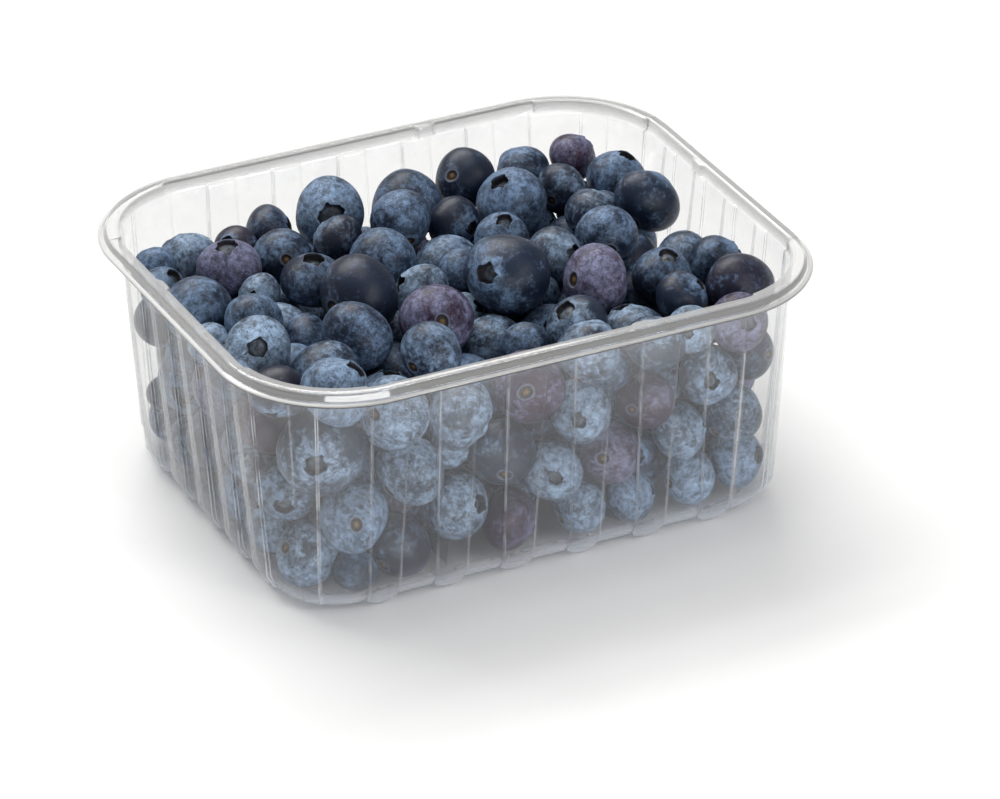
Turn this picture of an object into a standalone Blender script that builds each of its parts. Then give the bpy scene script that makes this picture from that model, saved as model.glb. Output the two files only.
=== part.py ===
"""A clear plastic fruit tray (punnet), open on top and filled with loose blueberries.

Two solids: the thin formed tray, and the heap of berries out to its uneven outline.
Metres, +Z up. The origin is under the middle of the tray, on the surface it stands on.
X runs along the long side, Y along the short side.
"""
import math

import bmesh
import bpy
import numpy as np

MM = 0.001

# Tray, outside sizes
RIM_LENGTH = 145.0 * MM
RIM_WIDTH = 119.0 * MM
HEIGHT = 60.5 * MM
SHEET = 0.6 * MM

# Levels above the ground
BASE_LEVEL = 1.5 * MM
CREASE_LEVEL = 5.0 * MM
WALL_TOP_LEVEL = 57.0 * MM

# How far each level stands in from the rim's outer edge, and its corner radius there
CREASE_INSET = 10.1 * MM
WALL_TOP_INSET = 5.1 * MM
BASE_INSET = 17.5 * MM
RIM_CORNER = 29.0 * MM
WALL_TOP_CORNER = 23.9 * MM
CREASE_CORNER = 16.0 * MM
BASE_CORNER = 10.0 * MM

# Upright ribs: pitch, width and depth
LONG_SIDE_RIBS = 6
LONG_SIDE_PITCH = 16.7 * MM
SHORT_SIDE_RIBS = 5
SHORT_SIDE_PITCH = 14.8 * MM
RIB_WIDTH_TOP = 9.6 * MM
RIB_WIDTH_BASE = 7.4 * MM
RIB_FLANK = 0.9 * MM
RIB_DEPTH_TOP = 0.6 * MM
RIB_DEPTH_BASE = 1.6 * MM

# Stations round a corner, in degrees: the rim's corner step and a rib in the middle
CORNER_STATIONS = (
    (9.0, "plain"),
    (12.0, "step"),
    (23.0, "step"),
    (34.0, "step"),
    (38.0, "rib"),
    (52.0, "rib"),
    (56.0, "step"),
    (67.0, "step"),
    (78.0, "step"),
    (81.0, "plain"),
)
CORNER_STEP = 0.8 * MM

# Underside and floor in millimetres: how far in from the rim's edge, level, how far the ribs
# stand out there, and 1 where each rib has a foot
UNDERSIDE_PROFILE = (
    (17.5, 1.5, 0.0, 0),
    (15.6, 1.5, 0.0, 1),
    (12.3, 1.5, 0.3, 1),
    (11.2, 2.5, 0.9, 1),
)
FLOOR_PROFILE = (
    (11.8, 3.0, 0.9, 1),
    (12.8, 2.1, 0.3, 1),
    (15.0, 2.1, 0.0, 1),
    (16.9, 2.1, 0.0, 0),
)
# Rim in millimetres: how far in from its outer edge, how far below its top, and 1 where the
# corners step in
RIM_PROFILE = (
    (3.9, 3.2, 1),
    (3.6, 0.6, 1),
    (2.7, 0.6, 0),
    (2.0, 2.5, 0),
    (0.0, 2.9, 0),
    (0.0, 2.3, 0),
    (1.4, 2.0, 0),
    (1.8, 0.4, 0),
    (2.4, 0.0, 0),
    (4.2, 0.0, 1),
    (4.5, 2.6, 1),
)
LEDGE_RISE = 0.5 * MM
CREASE_RISE = 0.2 * MM

# Berries
BERRY_RADIUS = 7.8 * MM
BERRY_RADIUS_SPREAD = 0.9 * MM
BERRY_RADIUS_LIMITS = (6.2 * MM, 9.6 * MM)
BERRY_SEED = 12
WALL_GAP = 0.4 * MM
FILL_LEVEL = 47.0 * MM

# Pouring them: a start in staggered layers, then small falls with every overlap pushed out
LAYERS = 5
LAYER_COLUMNS = 7
LAYER_ROWS = 6
LAYER_PITCH = 16.6 * MM
LAYER_RISE = 0.86
LAYER_NUDGE = 1.8 * MM
SETTLE_STEPS = 400
PUSHES_PER_STEP = 2
REST_STEPS = 160
STRIKE_OFF_STEPS = (150, 250, 350, 399)
SETTLE_FALL = 0.25 * MM
SHOWN_PULL = 0.3
SHOWN_LOOSE = 0.02
SHOWN_LOOSE_AT_REST = 0.1
TOP_UP_LEVEL = 48.0 * MM
TOP_UP_SPACING = 2.5 * MM
TOP_UP_SQUEEZE = 1.6 * MM

# The heap's solid
HEAP_CELLS_LONG = 40
HEAP_CELLS_SHORT = 33
HEAP_WALL_ROWS = 9
HEAP_LEVEL = 54.0 * MM
HEAP_EDGE_SLOPE = 2.5 * MM
HEAP_DEEPEST_DENT = 4.5 * MM
HEAP_DEEPEST_PIT = 10.0 * MM

# Rows of berries that lie on show, in millimetres: the row's place across the tray (Y) and
# its height, then the place along the row (X) and the diameter of each berry in it
SHOWN_ROWS = (
    (45, 46, ((-26, 13), (-10, 17), (9, 17), (24, 15), (41, 14), (54, 12))),
    (27, 46, ((-60, 12),)),
    (30, 46, ((-43, 15), (1, 15), (16, 13), (31, 17), (46, 13), (59, 15))),
    (15, 47, ((-56, 16), (-28, 15), (-11, 17), (19, 13), (58, 16))),
    (2, 45, ((-47, 14), (-10, 14), (5, 12), (27, 14), (41, 15))),
    (-2, 43, ((-41, 13),)),
    (-7, 48, ((9, 20),)),
    (-14, 43, ((-46, 12),)),
    (-17, 47, ((-31, 17), (-13, 17), (27, 17), (44, 14), (59, 13))),
    (-31, 46, ((-20, 15), (3, 12), (43, 13), (57, 17))),
    (-46, 48, ((-50, 16), (11, 15), (28, 14))),
    (-46, 43, ((-39, 17), (-4, 17))),
    (-46, 36, ((-21, 17), (10, 15), (43, 14))),
    (-46, 31, ((-52, 20), (26, 14))),
    (-46, 26, ((-34, 17), (-7, 16), (52, 15))),
    (-46, 20, ((-44, 16), (18, 15), (36, 14))),
    (-46, 15, ((-22, 16), (3, 14))),
    (-46, 8, ((-53, 15), (-34, 15), (-9, 15), (9, 13), (24, 13), (41, 14), (53, 14))),
)


def clear_scene():
    """Removes every object that is in the scene."""
    for item in list(bpy.data.objects):
        bpy.data.objects.remove(item, do_unlink=True)


def make_material(name, colour, roughness, alpha):
    """A plain Principled material."""
    material = bpy.data.materials.new(name)
    material.use_nodes = True
    shader = material.node_tree.nodes["Principled BSDF"]
    shader.inputs["Base Color"].default_value = (*colour, 1.0)
    shader.inputs["Roughness"].default_value = roughness
    shader.inputs["Metallic"].default_value = 0.0
    shader.inputs["Alpha"].default_value = alpha
    return material


def mix(low, high, share):
    """The value that lies this share of the way from low to high."""
    return low + (high - low) * share


def wall_share(level):
    """How far up the wall a level is: 0 at the crease, 1 at the top of the wall."""
    return (level - CREASE_LEVEL) / (WALL_TOP_LEVEL - CREASE_LEVEL)


def corner_radius(inset):
    """Corner radius of the outline that stands in from the rim's outer edge this far."""
    insets = (0.0, WALL_TOP_INSET, CREASE_INSET, BASE_INSET)
    corners = (RIM_CORNER, WALL_TOP_CORNER, CREASE_CORNER, BASE_CORNER)
    return float(np.interp(inset, insets, corners))


def wall_outline(level):
    """Half length, half width and corner radius of the wall's outside at a level."""
    share = wall_share(level)
    inset = mix(CREASE_INSET, WALL_TOP_INSET, share)
    corner = mix(CREASE_CORNER, WALL_TOP_CORNER, share)
    return RIM_LENGTH / 2 - inset, RIM_WIDTH / 2 - inset, corner


def rib_stations(count, pitch, width):
    """Places along a side where its ribs start and end, each with what stands there."""
    stations = []
    for number in range(count):
        middle = (number - (count - 1) / 2) * pitch
        for place, kind in (
            (-width / 2 - RIB_FLANK / 2, "plain"),
            (-width / 2 + RIB_FLANK / 2, "rib"),
            (width / 2 - RIB_FLANK / 2, "rib"),
            (width / 2 + RIB_FLANK / 2, "plain"),
        ):
            stations.append((middle + place, kind))
    return stations


def side_point(along, half_along, half_across, corner):
    """Distance out from the middle of a side's outline, also where it starts to turn."""
    past_straight = max(0.0, abs(along) - (half_along - corner))
    return half_across - corner + math.sqrt(corner ** 2 - past_straight ** 2)


def ring(inset, level, rib_depth, rib_width, foot_drop, corner_step):
    """One closed ring of the tray, as a list of points, anticlockwise from the front left."""
    corner = corner_radius(inset)
    half_length = RIM_LENGTH / 2 - inset
    half_width = RIM_WIDTH / 2 - inset
    long_side = rib_stations(LONG_SIDE_RIBS, LONG_SIDE_PITCH, rib_width)
    short_side = rib_stations(SHORT_SIDE_RIBS, SHORT_SIDE_PITCH, rib_width)
    sides = (
        (long_side, half_length, half_width),
        (short_side, half_width, half_length),
        (long_side, half_length, half_width),
        (short_side, half_width, half_length),
    )
    points = []
    for quarter, (stations, half_along, half_across) in enumerate(sides):
        turn = quarter * math.pi / 2
        for along, kind in stations:
            out = side_point(along, half_along, half_across, corner)
            if kind == "rib":
                out += rib_depth
            drop = foot_drop if kind == "rib" else 0.0
            points.append(turned(along, -out, level - drop, turn))
        for degrees, kind in CORNER_STATIONS:
            angle = math.radians(degrees)
            reach = corner
            if kind == "rib":
                reach += rib_depth
            if kind != "plain":
                reach -= corner_step
            x = half_along - corner + reach * math.sin(angle)
            y = -(half_across - corner) - reach * math.cos(angle)
            points.append(turned(x, y, level, turn))
    return points


def turned(x, y, z, turn):
    """A point turned about the upright axis."""
    return (
        x * math.cos(turn) - y * math.sin(turn),
        x * math.sin(turn) + y * math.cos(turn),
        z,
    )


def base_rings(profile):
    """The rings of the underside or of the floor."""
    rings = []
    for inset, level, depth, foot in profile:
        drop = foot * BASE_LEVEL
        rings.append(ring(inset * MM, level * MM, depth * MM, RIB_WIDTH_BASE, drop, 0.0))
    return rings


def rim_rings():
    """The rings of the rim, from the top of the wall's outside over to its inside."""
    rings = []
    for inset, below, step in RIM_PROFILE:
        level = HEIGHT - below * MM
        rings.append(ring(inset * MM, level, 0.0, RIB_WIDTH_TOP, 0.0, step * CORNER_STEP))
    return rings


def wall_rings(inward, top_rise, crease_rise):
    """The wall's upper and lower ring, this far inside its outer face."""
    top = WALL_TOP_LEVEL + top_rise
    crease = CREASE_LEVEL + crease_rise
    return [
        ring(WALL_TOP_INSET + inward, top, RIB_DEPTH_TOP, RIB_WIDTH_TOP, 0.0, 0.0),
        ring(CREASE_INSET + inward, crease, RIB_DEPTH_BASE, RIB_WIDTH_BASE, 0.0, 0.0),
    ]


def tray_rings():
    """The rings of the tray from the middle of its underside, over the rim, to its floor."""
    outside = wall_rings(0.0, 0.0, 0.0)
    inside = wall_rings(SHEET, LEDGE_RISE, CREASE_RISE)
    underside = base_rings(UNDERSIDE_PROFILE)
    floor = base_rings(FLOOR_PROFILE)
    return underside + outside[::-1] + rim_rings() + inside + floor


def object_from_faces(name, points, faces, material):
    """A closed solid from its points and faces, with every face turned outwards."""
    mesh = bpy.data.meshes.new(name)
    mesh.from_pydata(points, [], faces)
    work = bmesh.new()
    work.from_mesh(mesh)
    bmesh.ops.recalc_face_normals(work, faces=work.faces)
    bmesh.ops.triangulate(work, faces=work.faces)
    work.to_mesh(mesh)
    work.free()
    mesh.materials.append(material)
    item = bpy.data.objects.new(name, mesh)
    bpy.context.collection.objects.link(item)
    return item


def stack_of_rings(rings):
    """Points and faces of a stack of equal rings, closed by one face at each end."""
    count = len(rings[0])
    points = [point for one_ring in rings for point in one_ring]
    faces = []
    for row in range(len(rings) - 1):
        for column in range(count):
            here = row * count + column
            beside = row * count + (column + 1) % count
            faces.append((here, beside, beside + count, here + count))
    faces.append(tuple(reversed(range(count))))
    faces.append(tuple(range(len(points) - count, len(points))))
    return points, faces


def build_tray():
    """The formed tray: base with feet, ribbed wall, ledge and stepped rim."""
    points, faces = stack_of_rings(tray_rings())
    film = make_material("clear_film", (0.90, 0.92, 0.94), 0.08, 0.3)
    return object_from_faces("tray", points, faces, film)


def outline_distance(places, half_length, half_width, corner):
    """Signed distance and outward direction from a rounded rectangle, negative inside."""
    core = np.stack([half_length - corner, half_width - corner], axis=-1)
    beyond = np.abs(places) - core
    outside = np.maximum(beyond, 0.0)
    length = np.linalg.norm(outside, axis=1)
    distance = length + np.minimum(beyond.max(axis=1), 0.0) - corner
    nearest_side = (beyond == beyond.max(axis=1, keepdims=True)).astype(float)
    round_part = outside / np.maximum(length, 1e-9)[:, None]
    direction = np.where(length[:, None] > 0.0, round_part, nearest_side)
    return distance, direction * np.sign(places)


def keep_inside(centres, radii):
    """Pushes berries off the tray's wall and floor."""
    half_length, half_width, corner = wall_outline(centres[:, 2])
    clear = SHEET + WALL_GAP
    distance, direction = outline_distance(
        centres[:, :2], half_length - clear, half_width - clear, corner - clear)
    push = np.maximum(distance + radii, 0.0)
    centres[:, :2] -= push[:, None] * direction
    floor = BASE_LEVEL + SHEET + WALL_GAP
    centres[:, 2] = np.maximum(centres[:, 2], floor + radii)


def push_apart(centres, radii, loose):
    """Moves every two berries that overlap apart by half their overlap each."""
    offset = centres[:, None, :] - centres[None, :, :]
    gap = np.linalg.norm(offset, axis=2) + np.eye(len(radii))
    overlap = np.maximum(radii[:, None] + radii[None, :] - gap, 0.0)
    np.fill_diagonal(overlap, 0.0)
    share = loose[:, None] / np.maximum(loose[:, None] + loose[None, :], 1.0)
    move = (offset / gap[..., None]) * (overlap * share)[..., None]
    centres += move.sum(axis=1) * 0.5


def shown_berries():
    """Middle and radius of each berry of the rows on show."""
    berries = []
    for across, height, row in SHOWN_ROWS:
        for along, diameter in row:
            berries.append((along, across, height, diameter / 2))
    return np.array(berries) * MM


def layered_start(rng):
    """Rough starting places: staggered layers of berries over the whole floor, each nudged."""
    columns = np.arange(LAYER_COLUMNS) - (LAYER_COLUMNS - 1) / 2
    rows = np.arange(LAYER_ROWS) - (LAYER_ROWS - 1) / 2
    layers = np.arange(LAYERS)
    layer, row, column = np.meshgrid(layers, rows, columns, indexing="ij")
    stagger = (layer % 2) * 0.5 - 0.25
    places = np.stack([column + stagger, row + stagger, layer * LAYER_RISE + 0.6], axis=-1)
    places = places.reshape(-1, 3) * LAYER_PITCH
    return places + rng.normal(0.0, LAYER_NUDGE, places.shape)


def push_all(centres, radii, loose, steps):
    """Takes the berries' overlaps apart, a little at a time."""
    for _ in range(steps):
        push_apart(centres, radii, loose)
        keep_inside(centres, radii)


def room_around(places, centres, radii):
    """Distance from each place to the nearest berry, wall or floor."""
    offset = places[:, None, :] - centres[None, :, :]
    to_berries = (np.sqrt((offset ** 2).sum(axis=2)) - radii[None, :]).min(axis=1)
    distance, _ = outline_distance(places[:, :2], *room_outline(places[:, 2]))
    to_floor = places[:, 2] - (BASE_LEVEL + SHEET + WALL_GAP)
    return np.minimum(np.minimum(to_berries, -distance), to_floor)


def top_up(centres, radii):
    """Fills the gaps left up to a level: a berry goes where there is most room for one."""
    spans = (
        np.arange(-RIM_LENGTH / 2, RIM_LENGTH / 2, TOP_UP_SPACING),
        np.arange(-RIM_WIDTH / 2, RIM_WIDTH / 2, TOP_UP_SPACING),
        np.arange(BASE_LEVEL, TOP_UP_LEVEL, TOP_UP_SPACING),
    )
    places = np.stack([part.ravel() for part in np.meshgrid(*spans)], axis=-1)
    room = room_around(places, centres, radii)
    while room.max() + TOP_UP_SQUEEZE > BERRY_RADIUS_LIMITS[0]:
        widest = room.argmax()
        radius = min(room[widest] + TOP_UP_SQUEEZE, BERRY_RADIUS)
        centres = np.append(centres, places[widest:widest + 1], axis=0)
        radii = np.append(radii, radius)
        apart = np.linalg.norm(places - places[widest], axis=1)
        room = np.minimum(room, apart - radius)
    return centres, radii


def settle_berries():
    """Lets poured berries settle round the shown ones; returns middles and radii."""
    rng = np.random.default_rng(BERRY_SEED)
    shown = shown_berries()
    start = layered_start(rng)
    drawn = rng.normal(BERRY_RADIUS, BERRY_RADIUS_SPREAD, len(start))
    radii = np.concatenate([shown[:, 3], np.clip(drawn, *BERRY_RADIUS_LIMITS)])
    centres = np.concatenate([shown[:, :3], start])
    loose = np.concatenate([np.full(len(shown), SHOWN_LOOSE), np.ones(len(start))])
    for step in range(SETTLE_STEPS):
        centres[:, 2] -= SETTLE_FALL * (loose == 1.0)
        centres[:len(shown)] += SHOWN_PULL * (shown[:, :3] - centres[:len(shown)])
        push_all(centres, radii, loose, PUSHES_PER_STEP)
        if step in STRIKE_OFF_STEPS:
            kept = centres[:, 2] < FILL_LEVEL
            kept[:len(shown)] = True
            centres, radii, loose = centres[kept], radii[kept], loose[kept]
    push_all(centres, radii, np.maximum(loose, SHOWN_LOOSE_AT_REST), REST_STEPS)
    centres, radii = top_up(centres, radii)
    loose = np.ones(len(radii))
    loose[:len(shown)] = SHOWN_LOOSE_AT_REST
    push_all(centres, radii, loose, REST_STEPS)
    return centres, radii


def outline_place(across, along, half_length, half_width, corner):
    """Where a point of a square's edge falls on a rounded rectangle, and the way out there.

    The square's corners fall on the middles of the round corners, and lengths along the
    outline keep their proportion.
    """
    on_long_side = np.abs(along) >= np.abs(across)
    run = np.where(on_long_side, np.abs(across), np.abs(along))
    straight = np.where(on_long_side, half_length, half_width) - corner
    length = run * (straight + corner * math.pi / 4)
    angle = np.maximum(length - straight, 0.0) / corner
    forward = np.minimum(length, straight) + corner * np.sin(angle)
    outward = np.where(on_long_side, half_width, half_length) - corner * (1.0 - np.cos(angle))
    x = np.where(on_long_side, forward, outward) * np.sign(across)
    y = np.where(on_long_side, outward, forward) * np.sign(along)
    way_x = np.where(on_long_side, np.sin(angle), np.cos(angle)) * np.sign(across)
    way_y = np.where(on_long_side, np.cos(angle), np.sin(angle)) * np.sign(along)
    return np.stack([x, y], axis=-1), np.stack([way_x, way_y], axis=-1)


def room_outline(level):
    """The outline that berries can reach inside the tray at a level."""
    half_length, half_width, corner = wall_outline(np.maximum(level, CREASE_LEVEL))
    clear = SHEET + WALL_GAP
    return half_length - clear, half_width - clear, corner - clear


def top_of_berries(places, centres, radii):
    """Height of the highest berry over each place, no lower than the deepest pit."""
    offset = places[:, None, :] - centres[None, :, :2]
    under = radii[None, :] ** 2 - (offset ** 2).sum(axis=2)
    tops = np.where(under > 0.0, centres[None, :, 2] + np.sqrt(np.maximum(under, 0.0)), 0.0)
    return np.maximum(tops.max(axis=1), HEAP_LEVEL - HEAP_DEEPEST_PIT)


def dent_beside_berries(places, ways, levels, centres, radii):
    """How far in from the wall the nearest berry's side lies, up to the deepest dent."""
    offset = centres[None, :, :2] - places[:, None, :]
    depth = -(offset * ways[:, None, :]).sum(axis=2)
    aside = offset[..., 0] * ways[:, None, 1] - offset[..., 1] * ways[:, None, 0]
    height = centres[None, :, 2] - levels[:, None]
    reach = radii[None, :] ** 2 - aside ** 2 - height ** 2
    dents = np.where(reach > 0.0, depth - np.sqrt(np.maximum(reach, 0.0)), HEAP_DEEPEST_DENT)
    return np.clip(dents.min(axis=1), 0.0, HEAP_DEEPEST_DENT)


def heap_edge_cells():
    """Cell numbers round the edge of the heap's top grid, anticlockwise."""
    last_column = HEAP_CELLS_LONG
    last_row = HEAP_CELLS_SHORT
    front = [(column, 0) for column in range(last_column)]
    right = [(last_column, row) for row in range(last_row)]
    back = [(column, last_row) for column in range(last_column, 0, -1)]
    left = [(0, row) for row in range(last_row, 0, -1)]
    return front + right + back + left


def build_heap(centres, radii):
    """The heap as one solid: a grid over the berries' tops, dented sides and a flat base."""
    columns = np.linspace(-1.0, 1.0, HEAP_CELLS_LONG + 1)
    rows = np.linspace(-1.0, 1.0, HEAP_CELLS_SHORT + 1)
    across, along = [part.ravel() for part in np.meshgrid(columns, rows)]
    size = np.maximum(np.maximum(np.abs(across), np.abs(along)), 1e-9)
    edge, way = outline_place(across / size, along / size, *room_outline(HEAP_LEVEL))
    inset = np.where(size > 0.999, HEAP_EDGE_SLOPE, 0.0)
    places = edge * size[:, None]
    heights = top_of_berries(places - way * inset[:, None], centres, radii)

    edge_cells = heap_edge_cells()
    edge_numbers = [row * (HEAP_CELLS_LONG + 1) + column for column, row in edge_cells]
    edge_across = across[edge_numbers]
    edge_along = along[edge_numbers]
    edge_heights = np.minimum(heights[edge_numbers], HEAP_LEVEL)
    heights[edge_numbers] = edge_heights
    edge_places, _ = outline_place(edge_across, edge_along, *room_outline(edge_heights))
    places[edge_numbers] = edge_places
    points = [(*place, height) for place, height in zip(places, heights)]

    floor = BASE_LEVEL + SHEET + WALL_GAP
    rings = [edge_numbers]
    for row in range(1, HEAP_WALL_ROWS + 1):
        levels = mix(edge_heights, floor, row / HEAP_WALL_ROWS)
        ring_places, ways = outline_place(edge_across, edge_along, *room_outline(levels))
        dents = dent_beside_berries(ring_places, ways, levels, centres, radii)
        if row == HEAP_WALL_ROWS:
            dents = np.full(len(levels), HEAP_DEEPEST_DENT)
        ring_places = ring_places - ways * dents[:, None]
        rings.append(range(len(points), len(points) + len(levels)))
        points.extend((*place, level) for place, level in zip(ring_places, levels))

    faces = []
    for row in range(HEAP_CELLS_SHORT):
        for column in range(HEAP_CELLS_LONG):
            here = row * (HEAP_CELLS_LONG + 1) + column
            above = here + HEAP_CELLS_LONG + 1
            faces.append((here, here + 1, above + 1, above))
    for upper, lower in zip(rings, rings[1:]):
        for number in range(len(upper)):
            following = (number + 1) % len(upper)
            faces.append((upper[number], lower[number], lower[following], upper[following]))
    faces.append(tuple(reversed(rings[-1])))
    skin = make_material("berry_skin", (0.030, 0.045, 0.095), 0.55, 1.0)
    return object_from_faces("berries", points, faces, skin)


def main():
    """Builds the tray and the heap of berries in it."""
    clear_scene()
    build_tray()
    build_heap(*settle_berries())


main()
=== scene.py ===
"""Dresses a clear fruit tray and its loose blueberries, and lights them for a studio picture.

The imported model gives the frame: metres, +Z up, the tray's long side along X and its front
towards -Y. The thin formed tray and the separate berries are made here at full detail.
"""
import logging
import math
from dataclasses import dataclass, field
from enum import Enum

import bpy
import numpy as np
from mathutils import Matrix, Vector


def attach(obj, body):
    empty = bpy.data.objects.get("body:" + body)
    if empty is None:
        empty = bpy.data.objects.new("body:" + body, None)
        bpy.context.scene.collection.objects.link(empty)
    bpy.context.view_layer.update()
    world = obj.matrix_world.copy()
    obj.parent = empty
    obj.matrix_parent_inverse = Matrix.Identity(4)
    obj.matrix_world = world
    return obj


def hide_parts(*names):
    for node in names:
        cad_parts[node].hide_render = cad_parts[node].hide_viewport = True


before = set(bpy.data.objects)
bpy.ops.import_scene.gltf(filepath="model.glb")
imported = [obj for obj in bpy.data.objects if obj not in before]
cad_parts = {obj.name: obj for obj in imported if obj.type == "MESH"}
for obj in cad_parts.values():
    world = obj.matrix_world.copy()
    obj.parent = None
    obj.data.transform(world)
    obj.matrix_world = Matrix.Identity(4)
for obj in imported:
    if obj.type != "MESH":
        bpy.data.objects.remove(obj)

logging.basicConfig(level=logging.INFO, format="%(message)s")
LOG = logging.getLogger("punnet")

MM = 0.001


# --------------------------------------------------------------------------- small helpers


def smooth(share: np.ndarray) -> np.ndarray:
    """Eases a share from 0 to 1: three times its square less twice its cube, held at the ends.

    Args:
        share: Shares, which may lie outside 0 to 1.

    Returns:
        The eased shares.
    """
    held = np.clip(share, 0.0, 1.0)
    return held * held * (3.0 - 2.0 * held)


def edges(share: np.ndarray) -> np.ndarray:
    """Where a share that goes from 0 to 1 starts and stops rising: 1 near both, 0 elsewhere.

    With s = 4 share (1 - share), which peaks half way, it is the cube of 4 s (1 - s).
    """
    slope = 4.0 * share * (1.0 - share)
    return (4.0 * slope * (1.0 - slope)) ** 3


def mesh_object(name: str, points: np.ndarray, quads: np.ndarray,
                triangles: np.ndarray | None = None) -> bpy.types.Object:
    """Makes a smooth-shaded mesh object from whole arrays.

    Args:
        name: Name of the piece.
        points: Places of the vertices, one row each.
        quads: Vertex numbers of the four-sided faces, one row each.
        triangles: Vertex numbers of the three-sided faces, or None.

    Returns:
        The new object, linked to the scene.
    """
    mesh = bpy.data.meshes.new(name)
    triangles = np.empty((0, 3), int) if triangles is None else triangles
    corners = np.concatenate([quads.ravel(), triangles.ravel()]).astype(np.int32)
    sizes = np.concatenate([np.full(len(quads), 4), np.full(len(triangles), 3)])
    starts = np.concatenate([[0], np.cumsum(sizes)[:-1]]).astype(np.int32)
    mesh.vertices.add(len(points))
    mesh.vertices.foreach_set("co", points.astype(np.float32).ravel())
    mesh.loops.add(len(corners))
    mesh.loops.foreach_set("vertex_index", corners)
    mesh.polygons.add(len(sizes))
    mesh.polygons.foreach_set("loop_start", starts)
    mesh.polygons.foreach_set("use_smooth", np.ones(len(sizes), bool))
    mesh.update(calc_edges=True)
    mesh.validate()
    item = bpy.data.objects.new(name, mesh)
    bpy.context.collection.objects.link(item)
    return item


def grid_quads(rows: int, columns: int) -> np.ndarray:
    """Faces of a grid of points whose last column joins its first.

    Args:
        rows: Rows of points.
        columns: Points in each row, all round.

    Returns:
        Vertex numbers, four to a face.
    """
    row, column = np.meshgrid(np.arange(rows - 1), np.arange(columns), indexing="ij")
    here = (row * columns + column).ravel()
    beside = (row * columns + (column + 1) % columns).ravel()
    return np.stack([here, beside, beside + columns, here + columns], axis=1)


def add_attribute(item: bpy.types.Object, name: str, values: np.ndarray) -> None:
    """Stores one number or three numbers per vertex on a piece, for its material to read."""
    kind, key = ("FLOAT", "value") if values.ndim == 1 else ("FLOAT_VECTOR", "vector")
    layer = item.data.attributes.new(name, kind, "POINT")
    layer.data.foreach_set(key, values.astype(np.float32).ravel())


class NodeBoard:
    """Lays out the nodes of one tree: a material's, a world's or a group's."""

    def __init__(self, tree: bpy.types.NodeTree) -> None:
        """Starts on a tree, whose present nodes stay."""
        self.tree = tree

    def add(self, kind: str, **settings) -> bpy.types.Node:
        """Adds a node of this kind with its settings."""
        node = self.tree.nodes.new(kind)
        for key, value in settings.items():
            setattr(node, key, value)
        return node

    def join(self, source: bpy.types.NodeSocket, target: bpy.types.NodeSocket) -> None:
        """Links an output to an input."""
        self.tree.links.new(source, target)

    def feed(self, value, target: bpy.types.NodeSocket) -> None:
        """Links an output to an input, or sets the input to a plain value."""
        if isinstance(value, bpy.types.NodeSocket):
            self.join(value, target)
        else:
            target.default_value = value

    def math(self, operation: str, first, second=0.0, clamp: bool = False):
        """One sum on two values or outputs.

        Args:
            operation: Blender's name of the sum.
            first: A number or an output.
            second: A number or an output.
            clamp: True to hold the result between 0 and 1.

        Returns:
            The result's output.
        """
        node = self.add("ShaderNodeMath", operation=operation, use_clamp=clamp)
        self.feed(first, node.inputs[0])
        self.feed(second, node.inputs[1])
        return node.outputs[0]

    def span(self, value, low: float, high: float, start: float = 0.0, end: float = 1.0):
        """Maps a value from low..high to start..end, eased and held at the ends."""
        node = self.add("ShaderNodeMapRange", interpolation_type="SMOOTHSTEP")
        self.feed(value, node.inputs["Value"])
        node.inputs["From Min"].default_value = low
        node.inputs["From Max"].default_value = high
        node.inputs["To Min"].default_value = start
        node.inputs["To Max"].default_value = end
        return node.outputs["Result"]

    def blend(self, share, first, second):
        """Mixes two colours by a share."""
        node = self.add("ShaderNodeMix", data_type="RGBA")
        self.feed(share, node.inputs[0])
        self.feed(first, node.inputs[6])
        self.feed(second, node.inputs[7])
        return node.outputs[2]

    def noise(self, place, scale: float, detail: float = 2.0, rough: float = 0.5,
              warp: float = 0.0):
        """Noise over a place; the output runs from about 0.3 to 0.7."""
        node = self.add("ShaderNodeTexNoise")
        self.join(place, node.inputs["Vector"])
        node.inputs["Scale"].default_value = scale
        node.inputs["Detail"].default_value = detail
        node.inputs["Roughness"].default_value = rough
        node.inputs["Distortion"].default_value = warp
        return node.outputs[0]

    def attribute(self, name: str, output: str = "Fac"):
        """One of the piece's own attributes."""
        return self.add("ShaderNodeAttribute", attribute_name=name).outputs[output]


def new_material(name: str) -> tuple[bpy.types.Material, NodeBoard, bpy.types.NodeSocket]:
    """Makes an empty material.

    Args:
        name: Name of the material.

    Returns:
        The material, its board, and the socket that its surface goes into.
    """
    material = bpy.data.materials.new(name)
    material.use_nodes = True
    tree = material.node_tree
    tree.nodes.clear()
    board = NodeBoard(tree)
    output = board.add("ShaderNodeOutputMaterial")
    return material, board, output.inputs["Surface"]


# --------------------------------------------------------------------------- finishes


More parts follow.
